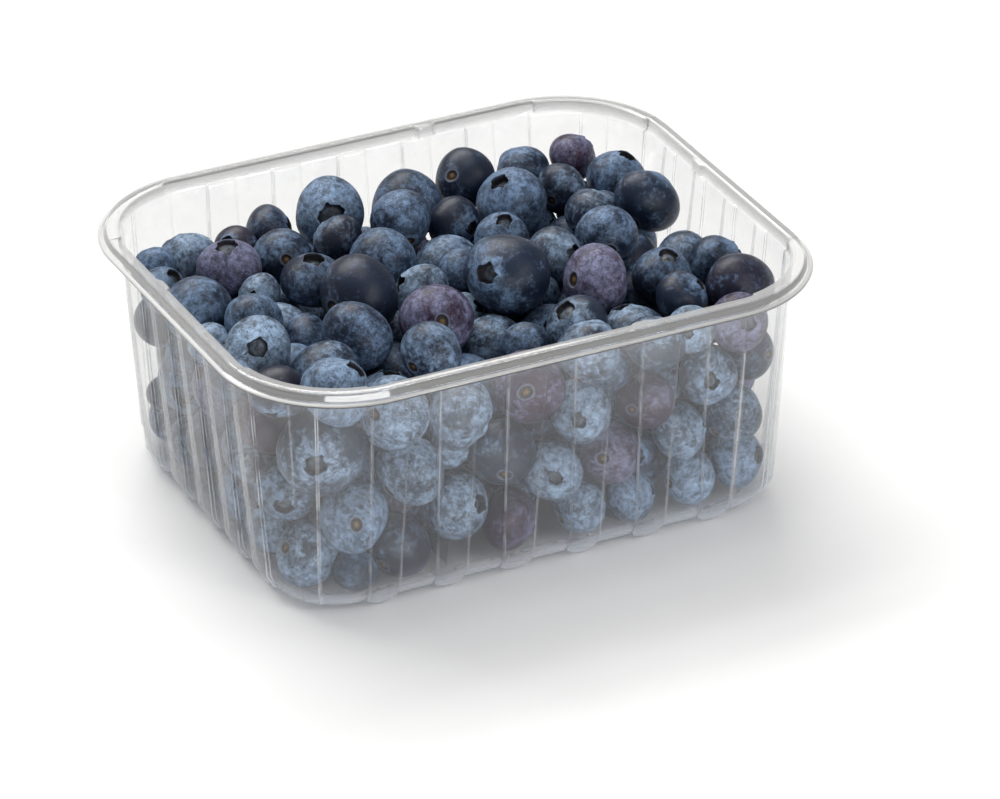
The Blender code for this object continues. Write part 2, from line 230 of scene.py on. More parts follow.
@dataclass(frozen=True)
class ClearFilm:
    """Thin clear formed plastic: sharp reflections, a slight milky haze, paler at its folds, and
    painted highlights along the rim's bends.
    """

    tint: tuple[float, float, float] = (0.950, 0.950, 0.947)
    haze_colour: tuple[float, float, float] = (0.80, 0.83, 0.88)
    fold_colour: tuple[float, float, float] = (0.66, 0.67, 0.68)
    # Colour of the painted highlight on the rim's bends
    painted_highlight_colour: tuple[float, float, float] = (0.76, 0.76, 0.755)
    haze: float = 0.038
    fold_haze: float = 0.58
    roughness: float = 0.06
    mirror: float = 0.038
    glancing_mirror: float = 0.50

    def material(self) -> bpy.types.Material:
        """Builds the film: see-through, mixed with haze by a mask and with gloss by Fresnel.

        The rim's bends take a painted highlight: their milk is shaded as if it lay flat, facing
        straight up, so they light up like the table.
        """
        material, board, surface = new_material("clear_film")
        place = board.add("ShaderNodeTexCoord").outputs["Object"]
        clear = board.add("ShaderNodeBsdfTransparent")
        clear.inputs["Color"].default_value = (*self.tint, 1.0)
        uneven = board.span(board.noise(place, 160.0, 3.0), 0.35, 0.65, 0.5, 1.3)
        fold = board.math("MULTIPLY", board.attribute("fold"), uneven, clamp=True)
        milk_colour = board.blend(fold, (*self.haze_colour, 1.0), (*self.fold_colour, 1.0))
        milky = board.add("ShaderNodeBsdfDiffuse")
        through = board.add("ShaderNodeBsdfTranslucent")
        scatter = board.add("ShaderNodeMixShader")
        scatter.inputs[0].default_value = 0.4
        board.join(milk_colour, milky.inputs["Color"])
        board.join(milk_colour, through.inputs["Color"])
        board.join(milky.outputs[0], scatter.inputs[1])
        board.join(through.outputs[0], scatter.inputs[2])

        cloud = board.span(board.noise(place, 45.0, 3.0), 0.35, 0.65, 0.7, 1.3)
        even = board.math("MULTIPLY", cloud, self.haze)
        folds = board.math("MULTIPLY", fold, self.fold_haze)
        haze = board.math("ADD", even, folds)
        haze = board.math("ADD", haze, board.attribute("frost"), clamp=True)
        body = board.add("ShaderNodeMixShader")
        board.join(haze, body.inputs[0])
        board.join(clear.outputs[0], body.inputs[1])
        board.join(scatter.outputs[0], body.inputs[2])

        # Painted highlight on the rim's bends: a matt shade whose normal is held straight up, so it
        # lights up like the table whichever way the bend faces.
        upright = board.add("ShaderNodeCombineXYZ")
        upright.inputs[2].default_value = 1.0
        painted_rim_highlight = board.add("ShaderNodeBsdfDiffuse")
        painted_rim_highlight.inputs["Color"].default_value = (*self.painted_highlight_colour, 1.0)
        board.join(upright.outputs[0], painted_rim_highlight.inputs["Normal"])
        with_painted_highlight = board.add("ShaderNodeMixShader")
        board.join(board.attribute("milk_and_painted_highlight"), with_painted_highlight.inputs[0])
        board.join(body.outputs[0], with_painted_highlight.inputs[1])
        board.join(painted_rim_highlight.outputs[0], with_painted_highlight.inputs[2])

        gloss = board.add("ShaderNodeBsdfGlossy")
        gloss.inputs["Color"].default_value = (1.0, 1.0, 1.0, 1.0)
        gloss.inputs["Roughness"].default_value = self.roughness
        edge = board.add("ShaderNodeLayerWeight").outputs["Facing"]
        rise = board.math("POWER", edge, 5.0)
        glancing = board.math("MULTIPLY", rise, self.glancing_mirror)
        mirror = board.math("ADD", glancing, self.mirror)
        film = board.add("ShaderNodeMixShader")
        board.join(mirror, film.inputs[0])
        board.join(with_painted_highlight.outputs[0], film.inputs[1])
        board.join(gloss.outputs[0], film.inputs[2])
        board.join(film.outputs[0], surface)
        return material


def bloom_group() -> bpy.types.NodeTree:
    """Node group of the waxy bloom on a berry: patches, rubbed smudges and fine specks.

    Returns:
        The group. It takes Place and Cover and puts out Bloom, Smudge, Specks, Cloud and
        Grain.
    """
    group = bpy.data.node_groups.new("waxy_bloom", "ShaderNodeTree")
    group.interface.new_socket("Place", in_out="INPUT", socket_type="NodeSocketVector")
    cover = group.interface.new_socket("Cover", in_out="INPUT", socket_type="NodeSocketFloat")
    cover.default_value = 0.5
    for name in ("Bloom", "Smudge", "Specks", "Cloud", "Grain"):
        group.interface.new_socket(name, in_out="OUTPUT", socket_type="NodeSocketFloat")
    board = NodeBoard(group)
    inputs = board.add("NodeGroupInput")
    outputs = board.add("NodeGroupOutput")
    place = inputs.outputs["Place"]

    broad = board.noise(place, 0.9, 2.0, 0.5, 0.4)
    patch = board.noise(place, 2.2, 8.0, 0.72, 0.35)
    mottle = board.noise(place, 7.5, 6.0, 0.75, 0.2)
    sum_one = board.math("ADD", board.math("MULTIPLY", broad, 0.8), patch)
    sum_two = board.math("ADD", sum_one, board.math("MULTIPLY", mottle, 0.9))
    level = board.math("ADD", sum_two, inputs.outputs["Cover"])
    board.join(board.span(level, 1.20, 1.62), outputs.inputs["Bloom"])

    rub = board.noise(place, 1.7, 6.0, 0.72, 0.8)
    board.join(board.span(rub, 0.54, 0.70), outputs.inputs["Smudge"])

    dots = board.add("ShaderNodeTexVoronoi")
    dots.inputs["Scale"].default_value = 6.5
    board.join(place, dots.inputs["Vector"])
    ragged = board.math("ADD", dots.outputs["Distance"], board.math("MULTIPLY", mottle, 0.25))
    near = board.span(ragged, 0.22, 0.36, 1.0, 0.0)
    some = board.span(board.noise(place, 2.6, 2.0), 0.46, 0.58)
    board.join(board.math("MULTIPLY", near, some), outputs.inputs["Specks"])

    cloud = board.noise(place, 4.2, 8.0, 0.78, 0.2)
    board.join(board.span(cloud, 0.36, 0.64), outputs.inputs["Cloud"])
    board.join(board.noise(place, 26.0, 3.0, 0.7), outputs.inputs["Grain"])
    return group


@dataclass(frozen=True)
class BerrySkin:
    """A berry's finish: dark skin under a pale bloom, with its crown and stem scar, and painted
    shade in the crown's hollow.
    """

    name: str
    skin: tuple[float, float, float]
    bloom: tuple[float, float, float]
    cover: float
    blush: tuple[float, float, float] = (0.060, 0.018, 0.035)
    blush_share: float = 0.07
    smudge: tuple[float, float, float] = (0.012, 0.014, 0.022)
    # Painted shade for the wall of the crown's hollow
    hollow_painted_shade: tuple[float, float, float] = (0.014, 0.012, 0.015)
    disc: tuple[float, float, float] = (0.045, 0.052, 0.062)
    disc_dust: tuple[float, float, float] = (0.120, 0.155, 0.200)
    scar_ring: tuple[float, float, float] = (0.150, 0.175, 0.240)
    scar_dark: tuple[float, float, float] = (0.034, 0.026, 0.020)
    scar_middle: tuple[float, float, float] = (0.160, 0.088, 0.034)

    def material(self, group: bpy.types.NodeTree) -> bpy.types.Material:
        """Builds the skin from the bloom group and the berries' own attributes.

        Args:
            group: The shared bloom group.

        Returns:
            The material.
        """
        material, board, surface = new_material(self.name)
        place = board.attribute("skin_place", "Vector")
        tone = board.add("ShaderNodeSeparateXYZ")
        board.join(board.attribute("tone", "Vector"), tone.inputs[0])
        marks = board.add("ShaderNodeSeparateXYZ")
        board.join(board.attribute("marks", "Vector"), marks.inputs[0])
        disc, hollow_painted_shade, scar = marks.outputs[0], marks.outputs[1], marks.outputs[2]
        ring = board.attribute("ring")

        bloom = board.add("ShaderNodeGroup", node_tree=group)
        board.join(place, bloom.inputs["Place"])
        lift = board.math("MULTIPLY", tone.outputs[0], 0.5)
        crown_lift = board.math("MULTIPLY", ring, 0.30)
        cover = board.math("ADD", board.math("ADD", lift, self.cover), crown_lift)
        board.join(cover, bloom.inputs["Cover"])

        redness = board.span(board.noise(place, 0.9, 2.0), 0.42, 0.66)
        blush = board.math("MULTIPLY", redness, self.blush_share)
        blush = board.math("ADD", blush, board.math("MULTIPLY", tone.outputs[1], 0.35), True)
        skin = board.blend(blush, (*self.skin, 1.0), (*self.blush, 1.0))
        dim = tuple(0.34 * part for part in self.bloom)
        full = tuple(1.36 * part for part in self.bloom)
        wax = board.blend(bloom.outputs["Cloud"], (*dim, 1.0), (*full, 1.0))
        colour = board.blend(bloom.outputs["Bloom"], skin, wax)
        wipe = board.math("MULTIPLY", bloom.outputs["Smudge"], 0.88)
        colour = board.blend(wipe, colour, (*self.smudge, 1.0))
        colour = board.blend(board.math("MULTIPLY", bloom.outputs["Specks"], 0.85), colour,
                             (*self.smudge, 1.0))
        grain = board.span(bloom.outputs["Grain"], 0.3, 0.7, 0.78, 1.18)
        shaded = board.add("ShaderNodeVectorMath", operation="SCALE")
        board.join(colour, shaded.inputs[0])
        board.join(grain, shaded.inputs["Scale"])
        colour = shaded.outputs[0]

        dust = board.span(board.noise(place, 5.0, 5.0, 0.7), 0.42, 0.66)
        floor = board.blend(dust, (*self.disc, 1.0), (*self.disc_dust, 1.0))
        colour = board.blend(disc, colour, floor)
        # Painted shade: the crown's hollow is darkened nearly to black where its wall lies in
        # shadow.
        colour = board.blend(hollow_painted_shade, colour, (*self.hollow_painted_shade, 1.0))
        halo = board.span(scar, 0.10, 0.45, 0.0, 0.7)
        colour = board.blend(halo, colour, (*self.scar_ring, 1.0))
        colour = board.blend(board.span(scar, 0.55, 0.75), colour, (*self.scar_dark, 1.0))
        colour = board.blend(board.span(scar, 0.85, 1.0), colour, (*self.scar_middle, 1.0))

        rough = board.span(bloom.outputs["Bloom"], 0.0, 1.0, 0.34, 0.56)
        rough = board.math("ADD", rough, board.math("MULTIPLY", hollow_painted_shade, 0.3), True)
        bump = board.add("ShaderNodeBump")
        bump.inputs["Strength"].default_value = 0.35
        bump.inputs["Distance"].default_value = 0.0002
        board.join(bloom.outputs["Grain"], bump.inputs["Height"])
        shader = board.add("ShaderNodeBsdfPrincipled")
        shader.inputs["Specular IOR Level"].default_value = 0.30
        board.join(colour, shader.inputs["Base Color"])
        board.join(rough, shader.inputs["Roughness"])
        board.join(bump.outputs[0], shader.inputs["Normal"])
        board.join(shader.outputs[0], surface)
        return material


@dataclass(frozen=True)
class PaleFloor:
    """The matt white table of the studio."""

    colour: tuple[float, float, float] = (0.90, 0.90, 0.90)

    def material(self) -> bpy.types.Material:
        """Builds the table's white, with a trace of unevenness."""
        material, board, surface = new_material("pale_floor")
        place = board.add("ShaderNodeTexCoord").outputs["Object"]
        speck = board.span(board.noise(place, 30.0, 2.0), 0.3, 0.7)
        low = tuple(0.99 * part for part in self.colour)
        colour = board.blend(speck, (*low, 1.0), (*self.colour, 1.0))
        shader = board.add("ShaderNodeBsdfDiffuse")
        board.join(colour, shader.inputs["Color"])
        board.join(shader.outputs[0], surface)
        return material


# --------------------------------------------------------------------------- the tray


@dataclass
class ClearTray:
    """The thin formed tray: one sheet from its base up the ribbed wall and over the rim."""

    length: float = 145.0 * MM
    width: float = 119.0 * MM
    sheet: float = 0.36 * MM
    foot_drop: float = 1.4 * MM
    corner_step: float = 0.8 * MM
    lug_depth: float = 0.9 * MM
    rib_width_top: float = 9.6 * MM
    rib_width_base: float = 7.4 * MM
    rib_flank: float = 0.26 * MM
    crease_level: float = 5.0 * MM
    wall_top_level: float = 57.1 * MM
    long_pitch: float = 16.7 * MM
    long_ribs: int = 6
    short_pitch: float = 14.8 * MM
    short_ribs: int = 5
    bend_steps: int = 4
    wall_rows: int = 7

    # Corner radius of the outline by how far it stands in from the rim's edge
    insets: tuple[float, ...] = (0.0, 5.1 * MM, 10.1 * MM, 17.5 * MM, 50.0 * MM)
    corners: tuple[float, ...] = (29.0 * MM, 23.9 * MM, 16.0 * MM, 10.0 * MM, 4.0 * MM)

    # The sheet's path in millimetres: inset, level, how far the ribs stand out, share of a
    # foot, share of the rim's corner step, share of the stacking lugs, how milky the sheet
    # is (on the rim, also how much painted highlight it takes), and how far each bend is rounded
    path: tuple[tuple[float, ...], ...] = (
        (50.0, 1.80, 0.0, 0.0, 0.0, 0.0, 0.0, 0.0),
        (17.0, 1.80, 0.0, 0.0, 0.0, 0.0, 0.10, 1.0),
        (14.9, 1.80, 0.0, 1.0, 0.0, 0.0, 0.24, 1.1),
        (11.7, 1.80, 0.3, 1.0, 0.0, 0.0, 0.40, 1.2),
        (10.4, 5.10, 1.2, 0.0, 0.0, 0.0, 0.05, 0.5),
        (9.97, 9.50, 1.12, 0.0, 0.0, 0.0, 0.0, 0.5),
        (9.15, 18.00, 1.0, 0.0, 0.0, 0.0, 0.00, 0.5),
        (5.35, 57.15, 0.5, 0.0, 0.0, 0.0, 0.0, 0.35),
        (4.45, 57.60, 0.0, 0.0, 0.6, 0.9, 0.10, 0.35),
        (4.15, 60.25, 0.0, 0.0, 1.0, 1.0, 0.45, 0.40),
        (3.55, 60.25, 0.0, 0.0, 0.2, 0.2, 0.18, 0.15),
        (2.15, 60.25, 0.0, 0.0, 0.0, 0.0, 0.22, 0.40),
        (2.00, 59.75, 0.0, 0.0, 0.0, 0.0, 0.30, 0.08),
        (1.92, 59.50, 0.0, 0.0, 0.0, 0.0, 0.95, 0.08),
        (1.70, 58.85, 0.0, 0.0, 0.0, 0.0, 0.95, 0.08),
        (1.55, 58.35, 0.0, 0.0, 0.0, 0.0, 0.12, 0.20),
        (1.20, 58.20, 0.0, 0.0, 0.0, 0.0, 0.15, 0.08),
        (0.95, 58.12, 0.0, 0.0, 0.0, 0.0, 0.95, 0.08),
        (0.15, 57.80, 0.0, 0.0, 0.0, 0.0, 0.95, 0.0),
    )

    # Stacking lugs: their middle and width along a side, in millimetres
    long_lug: float = 19.5 * MM
    short_lug: float = 9.3 * MM
    lug_width: float = 4.3 * MM
    lug_edge: float = 0.5 * MM

    def rows(self) -> np.ndarray:
        """The sheet's path with every bend rounded and the wall divided.

        A bend is the curve (1-t)^2 a + 2t(1-t) b + t^2 c between points at the bend's
        rounding before and after it.

        Returns:
            One row per level, of the first seven values of the path, in metres where they
            are lengths.
        """
        knots = np.array(self.path)
        rounding = knots[:, 7]
        knots = knots[:, :7]
        rows = [knots[:1]]
        share = np.linspace(0.0, 1.0, self.bend_steps)[:, None]
        for before, here, after, reach in zip(knots, knots[1:], knots[2:], rounding[1:]):
            back = before - here
            on = after - here
            start = here + back * reach / np.hypot(*back[:2])
            end = here + on * reach / np.hypot(*on[:2])
            curve = (1 - share) ** 2 * start + 2 * share * (1 - share) * here + share ** 2 * end
            if here[1] > 50.0 and before[1] < 20.0:
                steps = np.linspace(0.0, 1.0, self.wall_rows + 2)[1:-1, None]
                rows.append(rows[-1][-1] * (1 - steps) + start * steps)
            rows.append(curve)
        rows.append(knots[-1:])
        table = np.concatenate(rows)
        table[:, :3] *= MM
        return table

    def side_columns(self, count: int, pitch: float, lug: float) -> dict[str, np.ndarray]:
        """Columns of one side: numbered places across each rib's cell, with their masks.

        A cell has six knots: gap middle, flank foot, flank top, flank top, flank foot and
        gap middle.

        Args:
            count: Ribs on the side.
            pitch: Distance from rib to rib.
            lug: Place of the stacking lug along the side.

        Returns:
            The middle of each column's rib, its knot number and share of the way to the
            next knot, the half pitch, the rib's share, the foot's share and the lug's share.
        """
        gap = np.array([0.0, 0.22, 0.42, 0.6, 0.8])
        flank = np.linspace(0.0, 1.0, 6)[:-1]
        top = np.linspace(0.0, 1.0, 15)[:-1]
        knot = np.concatenate([gap, 1 + flank, 2 + top, 3 + flank, 4 + gap])
        middles = (np.arange(count) - (count - 1) / 2) * pitch
        middle = np.repeat(middles, len(knot))
        place = np.tile(knot, count)
        end = np.array([4.0])
        inside = ~((middle == middles[0]) & (place < 1.0))
        inside &= ~((middle == middles[-1]) & (place >= 4.0))
        middle = np.append(middle[inside], middles[-1])
        place = np.append(place[inside], end)
        rib = smooth(place - 1.0) * smooth(4.0 - place)
        foot = np.sin(np.pi * np.clip(place - 2.0, 0.0, 1.0)) ** 0.6
        return {"middle": middle, "place": place, "rib": rib, "foot": foot,
                "half_pitch": np.full(len(place), pitch / 2),
                "lug_at": np.full(len(place), lug)}

    def corner_columns(self) -> dict[str, np.ndarray]:
        """Columns of one corner: angles, the rib's share and the share of the corner step."""
        degrees = np.concatenate([
            np.linspace(8.6, 9.6, 3)[:-1], np.linspace(9.6, 11.4, 6)[:-1],
            np.linspace(11.4, 36.0, 12)[:-1], np.linspace(36.0, 38.0, 6)[:-1],
            np.linspace(38.0, 52.0, 7)[:-1], np.linspace(52.0, 54.0, 6)[:-1],
            np.linspace(54.0, 78.6, 12)[:-1], np.linspace(78.6, 80.4, 6)[:-1],
            np.linspace(80.4, 81.4, 3)])
        rib = smooth((degrees - 36.0) / 2.0) * smooth((54.0 - degrees) / 2.0)
        step = smooth((degrees - 9.6) / 1.8) * smooth((80.4 - degrees) / 1.8)
        return {"angle": np.radians(degrees), "rib": rib, "step": step}

    def corner_radius(self, inset: np.ndarray) -> np.ndarray:
        """Corner radius of the outline at each inset."""
        return np.interp(inset, self.insets, self.corners)

    def side_points(self, rows: np.ndarray, columns: dict[str, np.ndarray],
                    half_along: float, half_across: float) -> tuple[np.ndarray, np.ndarray]:
        """Points of one side, as (row, column, xyz), before it is turned into place.

        Along the side a point lies between its cell's knots at the rib's width there. It
        stands out by the outline, plus the rib's depth, less the lug.

        Args:
            rows: The sheet's rows.
            columns: The side's columns.
            half_along: Half the tray's size along the side.
            half_across: Half its size across.

        Returns:
            The points, and how much each is a fold.
        """
        inset, level, depth, foot, _, lug, _ = rows.T[:, :, None]
        corner = self.corner_radius(inset)
        share = np.clip((level - self.crease_level)
                        / (self.wall_top_level - self.crease_level), 0.0, 1.0)
        half = (self.rib_width_base * (1 - share) + self.rib_width_top * share) / 2
        flank = self.rib_flank / 2
        pitch = columns["half_pitch"][None]
        knots = [-pitch + 0 * half, -half - flank + 0 * pitch, -half + flank + 0 * pitch,
                 half - flank + 0 * pitch, half + flank + 0 * pitch, pitch + 0 * half]
        knots = np.stack(knots)
        number = np.minimum(columns["place"].astype(int), 4)
        pick = np.arange(len(number))
        part = columns["place"] - number
        low = knots[number, :, pick].T
        high = knots[number + 1, :, pick].T
        along = columns["middle"] + low * (1 - part) + high * part

        past = np.maximum(np.abs(along) - (half_along - inset - corner), 0.0)
        out = half_across - inset - corner + np.sqrt(corner ** 2 - past ** 2)
        out = out + depth * columns["rib"]
        lug_share = smooth((self.lug_width / 2 + self.lug_edge / 2
                            - np.abs(along - columns["lug_at"])) / self.lug_edge)
        out = out - self.lug_depth * lug * lug_share
        drop = self.foot_drop * foot * columns["foot"]
        points = np.stack([along, -out, level - drop + 0 * along], axis=-1)
        fold = edges(columns["rib"])[None] * np.clip(depth / (0.7 * MM), 0.0, 1.0)
        lug_fold = 4.0 * lug_share * (1.0 - lug_share) * lug
        return points, np.maximum(fold, lug_fold)

    def corner_points(self, rows: np.ndarray, columns: dict[str, np.ndarray],
                      half_along: float, half_across: float) -> tuple[np.ndarray, np.ndarray]:
        """Points of one corner: the corner's centre plus its reach at each angle.

        Args:
            rows: The sheet's rows.
            columns: The corner's columns.
            half_along: Half the tray's size along the side before the corner.
            half_across: Half its size across that side.

        Returns:
            The points, and how much each is a fold.
        """
        inset, level, depth, _, step, _, _ = rows.T[:, :, None]
        corner = self.corner_radius(inset)
        angle = columns["angle"][None]
        reach = corner + depth * columns["rib"] - self.corner_step * step * columns["step"]
        x = half_along - inset - corner + reach * np.sin(angle)
        y = -(half_across - inset - corner) - reach * np.cos(angle)
        points = np.stack([x, y, level + 0 * x], axis=-1)
        fold = edges(columns["rib"])[None] * np.clip(depth / (0.7 * MM), 0.0, 1.0)
        step_fold = 4.0 * columns["step"] * (1.0 - columns["step"]) * step
        return points, np.maximum(fold, step_fold)

    def build(self) -> bpy.types.Object:
        """Makes the sheet: four sides and four corners joined, then its thickness."""
        rows = self.rows()
        parts, folds = [], []
        lugs = (self.long_lug, self.short_lug, -self.long_lug, -self.short_lug)
        for quarter, lug in enumerate(lugs):
            if quarter % 2 == 0:
                half_along, half_across = self.length / 2, self.width / 2
                columns = self.side_columns(self.long_ribs, self.long_pitch, lug)
            else:
                half_along, half_across = self.width / 2, self.length / 2
                columns = self.side_columns(self.short_ribs, self.short_pitch, lug)
            turn = np.array(Matrix.Rotation(quarter * math.pi / 2, 3, "Z"))
            for maker, made_of in ((self.side_points, columns),
                                   (self.corner_points, self.corner_columns())):
                points, fold = maker(rows, made_of, half_along, half_across)
                parts.append(points @ turn.T)
                folds.append(np.broadcast_to(fold, points.shape[:2]))
        points = np.concatenate(parts, axis=1)
        fold = np.concatenate(folds, axis=1)
        points = points + self.wobble(points)
        count = points.shape[1]
        quads = grid_quads(len(rows), count)
        middle = np.array([[0.0, 0.0, rows[0, 1]]])
        last = len(rows) * count
        ring = np.arange(count)
        cap = np.stack([np.roll(ring, -1), ring, np.full(count, last)], axis=1)
        everything = np.concatenate([points.reshape(-1, 3), middle])
        item = mesh_object("tray_clear_sheet", everything, quads, cap)
        bend = self.bend_share(rows)[:, None]
        fold = np.maximum(fold, bend * np.ones_like(fold))
        add_attribute(item, "fold", np.append(fold.ravel(), 0.0))
        # On the rim the milk is a painted highlight, shaded as if it lay flat; below the rim it is
        # frost, a haze shaded as it lies.
        milk_and_painted_highlight = rows[:, 6][:, None] * np.ones_like(fold)
        painted_highlight_at_rim = milk_and_painted_highlight * (rows[:, 1] > self.wall_top_level)[:, None]
        add_attribute(item, "milk_and_painted_highlight", np.append(painted_highlight_at_rim.ravel(), 0.0))
        add_attribute(item, "frost", np.append((milk_and_painted_highlight - painted_highlight_at_rim).ravel(), 0.10))
        thickness = item.modifiers.new("thickness", "SOLIDIFY")
        thickness.thickness = self.sheet
        thickness.offset = 0.0
        thickness.use_even_offset = False
        return item

    def wobble(self, points: np.ndarray) -> np.ndarray:
        """Slight waves of a formed sheet: two sines over the wall, none at base and rim.

        Args:
            points: The sheet's points.

        Returns:
            What to add to each.
        """
        x, y, z = points[..., 0], points[..., 1], points[..., 2]
        free = smooth((z - 8.0 * MM) / (12.0 * MM)) * smooth((56.0 * MM - z) / (10.0 * MM))
        wave = np.sin(x / (11.0 * MM) + z / (17.0 * MM)) + np.sin(y / (9.0 * MM) - z / (13.0 * MM))
        out = np.stack([x, y, 0 * z], axis=-1)
        out = out / np.maximum(np.linalg.norm(out, axis=-1, keepdims=True), 1e-9)
        return out * (0.07 * MM * wave * free)[..., None]

    def bend_share(self, rows: np.ndarray) -> np.ndarray:
        """How sharply the sheet turns at each row, from 0 to 1."""
        way = np.diff(rows[:, :2], axis=0)
        angle = np.unwrap(np.arctan2(way[:, 1], -way[:, 0]))
        turn = np.abs(np.diff(angle, prepend=angle[0], append=angle[-1]))
        turn = (turn[:-1] + turn[1:]) / 2
        turn = np.append(turn, 0.0)[:len(rows)]
        at_crease = np.abs(rows[:, 1] - self.crease_level) < 0.4 * MM
        share = np.where(at_crease, 0.8, 0.25) * (rows[:, 1] < self.wall_top_level + 0.9 * MM)
        return np.clip(turn / 0.5, 0.0, 1.0) * share


# --------------------------------------------------------------------------- the berries


class Ripeness(Enum):
    """How a berry's skin looks."""

    PALE = "berries_pale"
    FROSTED = "berries_frosted"
    DUSKY = "berries_dusky"
    RUBBED = "berries_rubbed"
    PURPLE = "berries_purple"


L, F, D = Ripeness.PALE, Ripeness.FROSTED, Ripeness.DUSKY
R, P = Ripeness.RUBBED, Ripeness.PURPLE

# Rows of berries that lie on show: the row's place across the tray and its height, then for
# each berry its place along the row, its diameter, its skin, and which way its crown points,
# as a turn from the front towards the right and a lift, in degrees. Sizes in millimetres.
SHOWN_ROWS = (
    (45, 46, ((-26, 13, R, 60, 20), (-10, 17, F, -20, 22), (9, 17, D, 155, -35),
              (24, 15, D, 120, -30), (41, 14, D, 200, 30), (54, 12, P, 90, 40))),
    (27, 46, ((-60, 12, R, 40, 60),)),
    (30, 46, ((-43, 15, P, -40, 80), (1, 15, D, 170, 20), (16, 13, R, 20, 10),
              (31, 17, D, -70, 60), (46, 13, F, 120, 10), (59, 15, D, 60, 70))),
    (15, 47, ((-56, 16, R, -60, 10), (-28, 15, D, 10, 82), (-11, 17, R, 100, 0),
              (19, 13, D, -10, 70), (58, 16, D, 120, 30))),
    (2, 45, ((-47, 14, R, 150, 30), (-10, 14, L, -110, 25), (5, 12, D, 60, 30),
             (27, 14, L, 20, 20), (41, 15, D, 160, 0))),
    (-2, 43, ((-41, 13, D, 70, 10),)),
    (-7, 48, ((9, 20, D, -60, 22),)),
    (-14, 43, ((-46, 12, D, 30, 40),)),
    (-17, 47, ((-31, 17, D, 120, 10), (-13, 17, P, 165, -25), (27, 17, P, 100, -20),
               (44, 14, R, 10, 70), (59, 13, D, 80, 30))),
    (-31, 46, ((-20, 15, F, 110, 10), (3, 12, D, 150, 0), (43, 13, R, 60, 40),
               (57, 17, D, 180, 20))),
    (-46, 48, ((-50, 16, F, 70, 50), (11, 15, L, 120, 40), (28, 14, L, 40, 60))),
    (-46, 43, ((-39, 17, L, 110, -20), (-4, 17, P, 150, -20))),
    (-46, 36, ((-21, 17, L, 60, -20), (10, 15, L, -30, 10), (43, 14, L, -20, 12))),
    (-46, 31, ((-52, 20, L, -32, 8), (26, 14, P, 120, 0))),
    (-46, 26, ((-34, 17, L, 100, 30), (-7, 16, F, 160, 20), (52, 15, L, 110, 30))),
    (-46, 20, ((-44, 16, F, 160, -15), (18, 15, P, 140, -10), (36, 14, L, 60, 20))),
    (-46, 15, ((-22, 16, L, 30, 20), (3, 14, L, -20, 15))),
    (-46, 8, ((-53, 15, L, 100, -30), (-34, 15, F, 120, 20), (-9, 15, P, 60, -10),
              (9, 13, L, 100, 20), (24, 13, F, 60, 20), (41, 14, L, 100, 0),
              (53, 14, F, 40, 20))),
)


